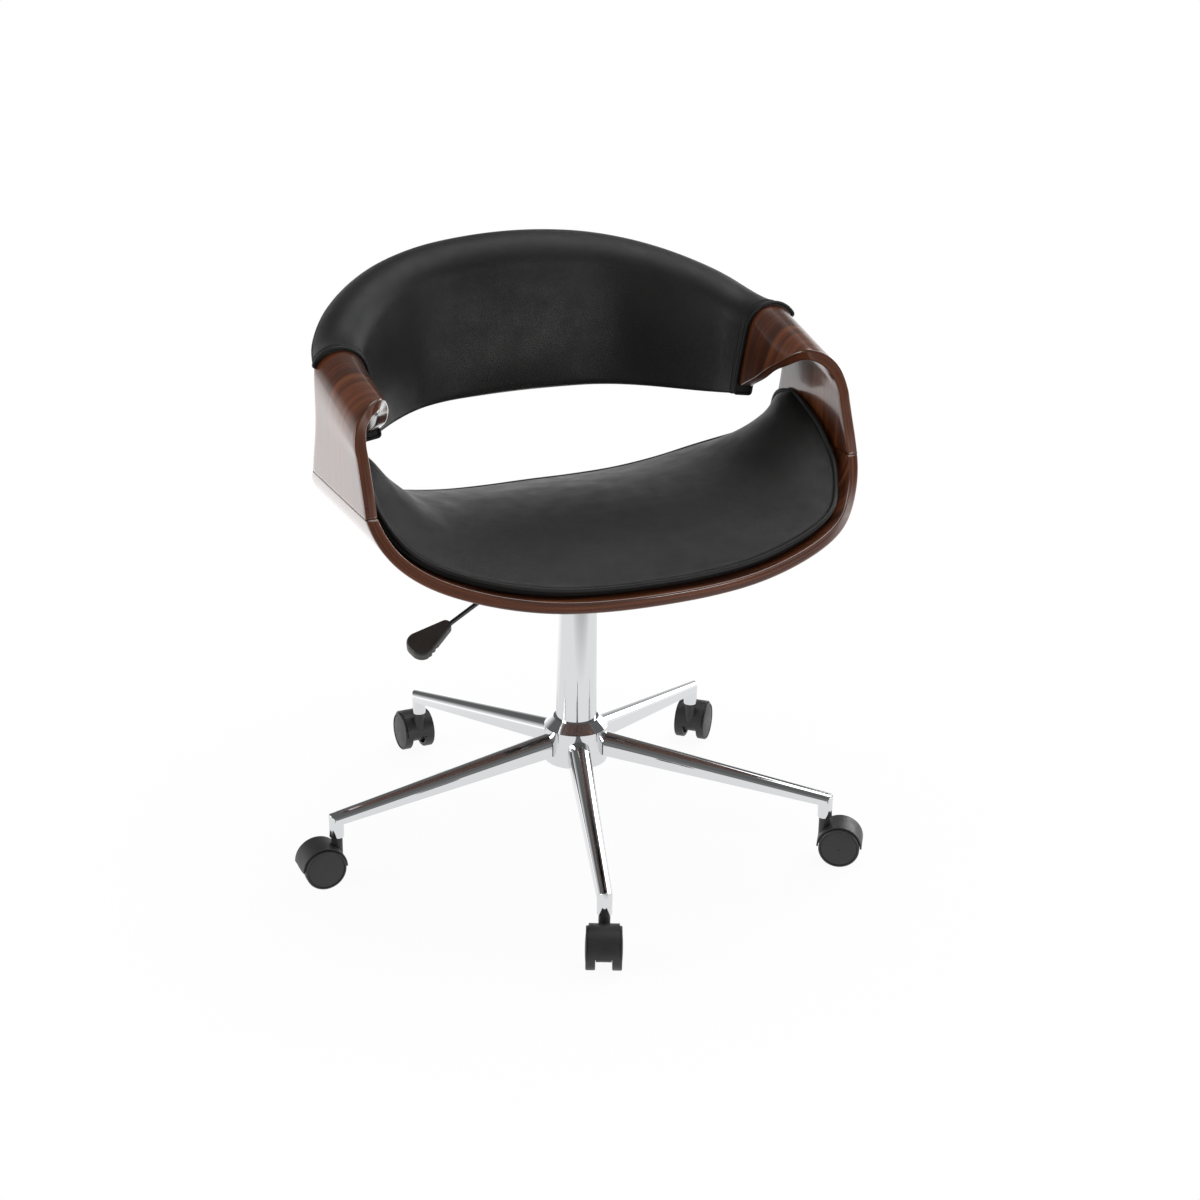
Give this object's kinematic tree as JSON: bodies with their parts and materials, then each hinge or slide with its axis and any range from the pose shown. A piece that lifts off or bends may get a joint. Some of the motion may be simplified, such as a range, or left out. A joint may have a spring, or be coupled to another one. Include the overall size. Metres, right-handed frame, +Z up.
{
  "type": "office chair",
  "caption": "Swivel office chair: bent walnut bucket seat with rolled arms, black leather cushion and wrap-round back, gas lift and a star base on casters.",
  "frame": {"origin": "on the floor, under the axis of the column", "axes": "+Z up, -Y the way the chair faces, -X the sitter's right, where the height lever is"},
  "size_m": [0.6689, 0.6918, 0.7178],
  "materials": {
    "chrome": "mirror plated",
    "steel": "ground",
    "black_steel": "satin black",
    "black_plastic": "fine grained",
    "rubber": "matt",
    "walnut": "satin lacquer",
    "core_ply": "raw",
    "leather": "soft sheen, fine grain"
  },
  "bodies": {
    "base": {"base_hub": "chrome", "base_leg_1": "chrome", "base_leg_2": "chrome", "base_leg_3": "chrome", "base_leg_4": "chrome", "base_leg_5": "chrome", "column_tube": "chrome", "column_bush": "black_plastic", "thrust_bearing": "steel"},
    "spindle": {"piston_rod": "steel", "column_clip": "steel", "rod_bumper": "rubber"},
    "seat": {"pressure_tube": "steel", "taper_socket": "black_steel", "seat_plate": "black_steel", "mechanism_housing": "black_steel", "lever_pin": "steel", "seat_bolts": "steel", "tee_nuts": "steel", "seat_shell": "walnut", "left_arm": "walnut", "right_arm": "walnut", "back_panel": "core_ply", "seat_cushion": "leather", "back_pad": "leather"},
    "lever": {"lever_rocker": "black_steel", "lever_rod": "black_steel", "lever_handle": "black_plastic"},
    "release_button": {"release_button": "steel"},
    "caster_1": {"caster_hood_1": "black_plastic", "caster_stem_1": "steel", "caster_axle_1": "steel"},
    "wheel_1_left": {"wheel_1_left": "black_plastic"},
    "wheel_1_right": {"wheel_1_right": "black_plastic"},
    "caster_2": {"caster_hood_2": "black_plastic", "caster_stem_2": "steel", "caster_axle_2": "steel"},
    "wheel_2_left": {"wheel_2_left": "black_plastic"},
    "wheel_2_right": {"wheel_2_right": "black_plastic"},
    "caster_3": {"caster_hood_3": "black_plastic", "caster_stem_3": "steel", "caster_axle_3": "steel"},
    "wheel_3_left": {"wheel_3_left": "black_plastic"},
    "wheel_3_right": {"wheel_3_right": "black_plastic"},
    "caster_4": {"caster_hood_4": "black_plastic", "caster_stem_4": "steel", "caster_axle_4": "steel"},
    "wheel_4_left": {"wheel_4_left": "black_plastic"},
    "wheel_4_right": {"wheel_4_right": "black_plastic"},
    "caster_5": {"caster_hood_5": "black_plastic", "caster_stem_5": "steel", "caster_axle_5": "steel"},
    "wheel_5_left": {"wheel_5_left": "black_plastic"},
    "wheel_5_right": {"wheel_5_right": "black_plastic"}
  },
  "joints": [
    {"name": "swivel", "type": "hinge", "parent": "base", "child": "spindle", "pos_m": [0, 0, 0.12], "axis": [0, 0, 1], "continuous": true},
    {"name": "lift", "type": "slide", "parent": "spindle", "child": "seat", "axis": [0, 0, 1], "range_m": [0, 0.1]},
    {"name": "lever_pivot", "type": "hinge", "parent": "seat", "child": "lever", "pos_m": [-0.036, 0, 0.35], "axis": [0, 1, 0], "range_deg": [0, 8]},
    {"name": "button_press", "type": "slide", "parent": "seat", "child": "release_button", "axis": [0, 0, -1], "range_m": [0, 0.0054]},
    {"name": "caster_1_swivel", "type": "hinge", "parent": "base", "child": "caster_1", "pos_m": [-0.312, 0, 0.05], "axis": [0, 0, 1], "continuous": true},
    {"name": "wheel_1_left_spin", "type": "hinge", "parent": "caster_1", "child": "wheel_1_left", "pos_m": [-0.332, 0.00042, 0.025], "axis": [-0.0209, -0.9998, 0], "continuous": true},
    {"name": "wheel_1_right_spin", "type": "hinge", "parent": "caster_1", "child": "wheel_1_right", "pos_m": [-0.332, 0.00042, 0.025], "axis": [-0.0209, -0.9998, 0], "continuous": true},
    {"name": "caster_2_swivel", "type": "hinge", "parent": "base", "child": "caster_2", "pos_m": [-0.09641, -0.29673, 0.05], "axis": [0, 0, 1], "continuous": true},
    {"name": "wheel_2_left_spin", "type": "hinge", "parent": "caster_2", "child": "wheel_2_left", "pos_m": [-0.10487, -0.31486, 0.025], "axis": [0.9063, -0.4226, 0], "continuous": true},
    {"name": "wheel_2_right_spin", "type": "hinge", "parent": "caster_2", "child": "wheel_2_right", "pos_m": [-0.10487, -0.31486, 0.025], "axis": [0.9063, -0.4226, 0], "continuous": true},
    {"name": "caster_3_swivel", "type": "hinge", "parent": "base", "child": "caster_3", "pos_m": [0.25241, -0.18339, 0.05], "axis": [0, 0, 1], "continuous": true},
    {"name": "wheel_3_left_spin", "type": "hinge", "parent": "caster_3", "child": "wheel_3_left", "pos_m": [0.26905, -0.19449, 0.025], "axis": [0.5548, 0.832, 0], "continuous": true},
    {"name": "wheel_3_right_spin", "type": "hinge", "parent": "caster_3", "child": "wheel_3_right", "pos_m": [0.26905, -0.19449, 0.025], "axis": [0.5548, 0.832, 0], "continuous": true},
    {"name": "caster_4_swivel", "type": "hinge", "parent": "base", "child": "caster_4", "pos_m": [0.25241, 0.18339, 0.05], "axis": [0, 0, 1], "continuous": true},
    {"name": "wheel_4_left_spin", "type": "hinge", "parent": "caster_4", "child": "wheel_4_left", "pos_m": [0.2658, 0.19825, 0.025], "axis": [-0.7431, 0.6691, 0], "continuous": true},
    {"name": "wheel_4_right_spin", "type": "hinge", "parent": "caster_4", "child": "wheel_4_right", "pos_m": [0.2658, 0.19825, 0.025], "axis": [-0.7431, 0.6691, 0], "continuous": true},
    {"name": "caster_5_swivel", "type": "hinge", "parent": "base", "child": "caster_5", "pos_m": [-0.09641, 0.29673, 0.05], "axis": [0, 0, 1], "continuous": true},
    {"name": "wheel_5_left_spin", "type": "hinge", "parent": "caster_5", "child": "wheel_5_left", "pos_m": [-0.09662, 0.31673, 0.025], "axis": [-0.9999, -0.0105, 0], "continuous": true},
    {"name": "wheel_5_right_spin", "type": "hinge", "parent": "caster_5", "child": "wheel_5_right", "pos_m": [-0.09662, 0.31673, 0.025], "axis": [-0.9999, -0.0105, 0], "continuous": true}
  ],
  "couplings": [
    {"joint": "button_press", "follows": "lever_pivot", "m_per_rad": 0.0375}
  ]
}
